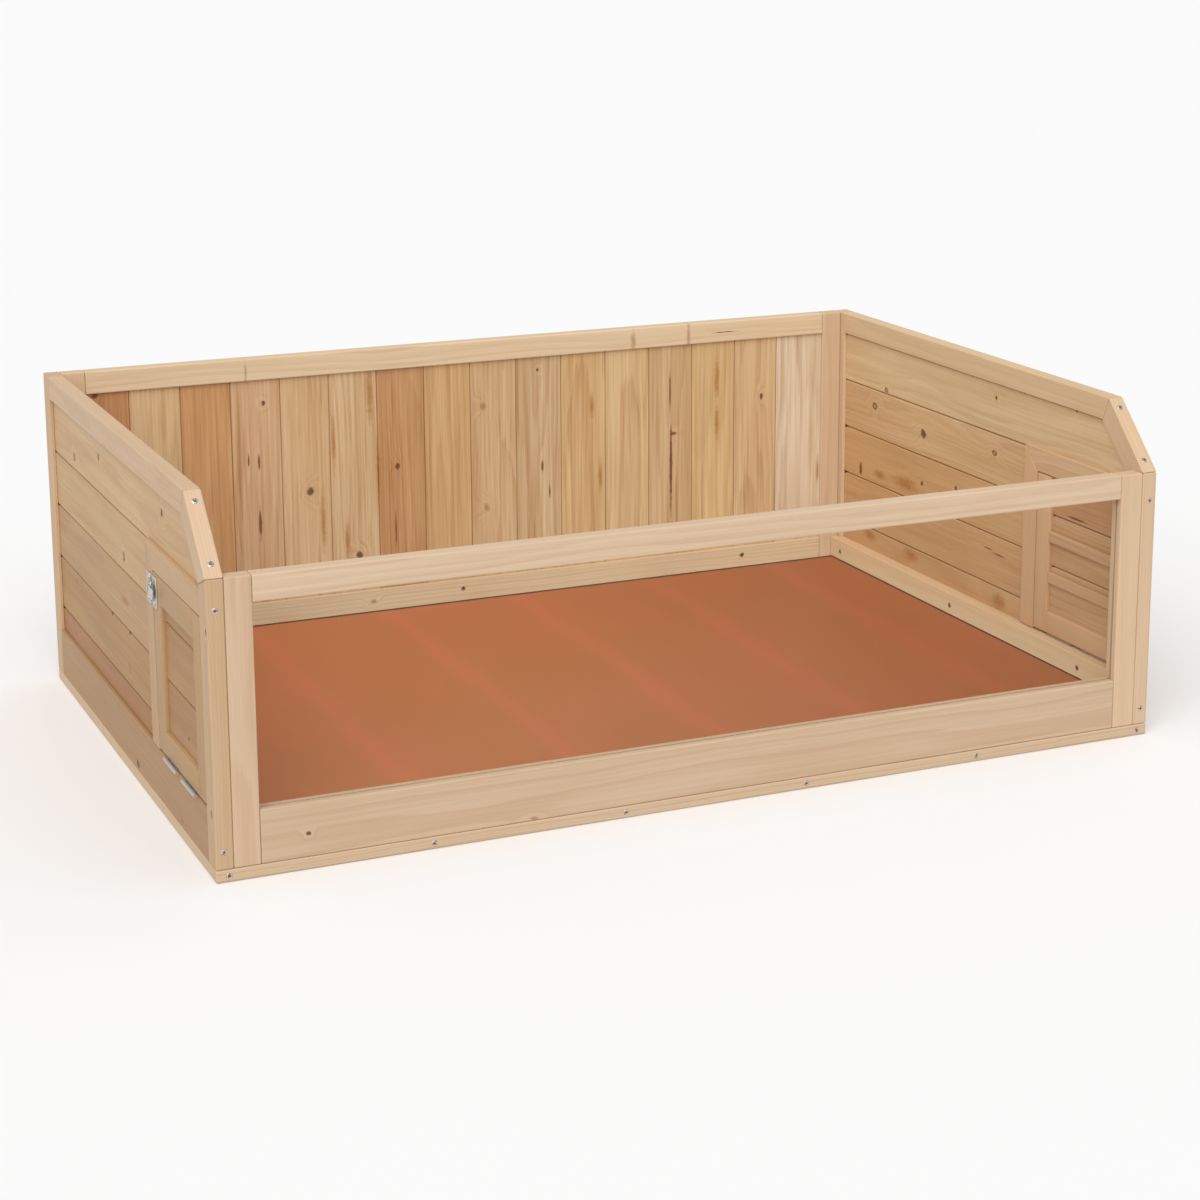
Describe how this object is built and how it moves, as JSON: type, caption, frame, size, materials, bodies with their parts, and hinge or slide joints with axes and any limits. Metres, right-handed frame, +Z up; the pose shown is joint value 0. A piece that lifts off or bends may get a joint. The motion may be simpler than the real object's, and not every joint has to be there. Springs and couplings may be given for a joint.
{
  "type": "indoor rabbit hutch",
  "caption": "Open-topped timber hutch with a clear front, boarded back and sides that slope down to the front, and a fold-down ramp door with a latch in each side.",
  "frame": {"origin": "middle of the footprint, on the ground", "axes": "+Z up, +X to the right seen from the front, the clear front faces -Y"},
  "size_m": [1.516, 1, 0.525],
  "materials": {
    "spruce": "planed pale spruce, satin",
    "spruce_boards": "tongue-and-groove spruce boards with knots, satin",
    "floor_film": "smooth brown film-faced board, satin",
    "clear_pane": "clear polished acrylic",
    "nickel_steel": "nickel-plated steel, a little dulled"
  },
  "bodies": {
    "root": {"back_boards": "spruce_boards", "back_bottom_rail": "spruce", "back_left_stile": "spruce", "back_right_stile": "spruce", "back_top_rail": "spruce", "base_back_batten": "spruce", "base_front_batten": "spruce", "base_left_batten": "spruce", "base_right_batten": "spruce", "floor_bearer_1": "spruce", "floor_bearer_2": "spruce", "floor_bearer_3": "spruce", "floor_sheet": "floor_film", "front_bottom_rail": "spruce", "front_left_stile": "spruce", "front_pane": "clear_pane", "front_right_stile": "spruce", "front_top_rail": "spruce", "left_boards": "spruce_boards", "left_bottom_rail": "spruce", "left_chamfer_rail": "spruce", "left_door_jamb": "spruce", "left_door_lintel": "spruce", "left_floor_cleat": "spruce", "left_front_stile": "spruce", "left_hinge_1_fixed_leaf": "nickel_steel", "left_hinge_2_fixed_leaf": "nickel_steel", "left_latch_strike": "nickel_steel", "left_rear_stile": "spruce", "left_top_rail": "spruce", "right_boards": "spruce_boards", "right_bottom_rail": "spruce", "right_chamfer_rail": "spruce", "right_door_jamb": "spruce", "right_door_lintel": "spruce", "right_floor_cleat": "spruce", "right_front_stile": "spruce", "right_hinge_1_fixed_leaf": "nickel_steel", "right_hinge_2_fixed_leaf": "nickel_steel", "right_latch_strike": "nickel_steel", "right_rear_stile": "spruce", "right_top_rail": "spruce"},
    "left_door": {"left_door_boards": "spruce_boards", "left_door_frame": "spruce", "left_door_rung_1": "spruce", "left_door_rung_2": "spruce", "left_hinge_1_door_leaf": "nickel_steel", "left_hinge_2_door_leaf": "nickel_steel", "left_latch_base": "nickel_steel"},
    "left_latch_lever": {"left_latch_lever": "nickel_steel"},
    "left_latch_loop": {"left_latch_loop": "nickel_steel"},
    "right_door": {"right_door_boards": "spruce_boards", "right_door_frame": "spruce", "right_door_rung_1": "spruce", "right_door_rung_2": "spruce", "right_hinge_1_door_leaf": "nickel_steel", "right_hinge_2_door_leaf": "nickel_steel", "right_latch_base": "nickel_steel"},
    "right_latch_lever": {"right_latch_lever": "nickel_steel"},
    "right_latch_loop": {"right_latch_loop": "nickel_steel"}
  },
  "joints": [
    {"name": "left_door_hinge", "type": "hinge", "parent": "root", "child": "left_door", "pos_m": [-0.7534, -0.333, 0.0978], "axis": [0, -1, 0], "range_deg": [0, 110]},
    {"name": "left_latch_pivot", "type": "hinge", "parent": "left_door", "child": "left_latch_lever", "pos_m": [-0.755, -0.211, 0.3365], "axis": [0, 0, -1], "range_deg": [0, 150]},
    {"name": "left_latch_loop_pivot", "type": "hinge", "parent": "left_latch_lever", "child": "left_latch_loop", "pos_m": [-0.7554, -0.2175, 0.3365], "axis": [0, 0, -1], "range_deg": [-150, 0]},
    {"name": "right_door_hinge", "type": "hinge", "parent": "root", "child": "right_door", "pos_m": [0.7534, -0.333, 0.0978], "axis": [0, 1, 0], "range_deg": [0, 110]},
    {"name": "right_latch_pivot", "type": "hinge", "parent": "right_door", "child": "right_latch_lever", "pos_m": [0.755, -0.211, 0.3365], "axis": [0, 0, 1], "range_deg": [0, 150]},
    {"name": "right_latch_loop_pivot", "type": "hinge", "parent": "right_latch_lever", "child": "right_latch_loop", "pos_m": [0.7554, -0.2175, 0.3365], "axis": [0, 0, 1], "range_deg": [-150, 0]}
  ],
  "couplings": [
    {"joint": "left_latch_loop_pivot", "follows": "left_latch_pivot", "ratio": -1},
    {"joint": "right_latch_loop_pivot", "follows": "right_latch_pivot", "ratio": -1}
  ]
}
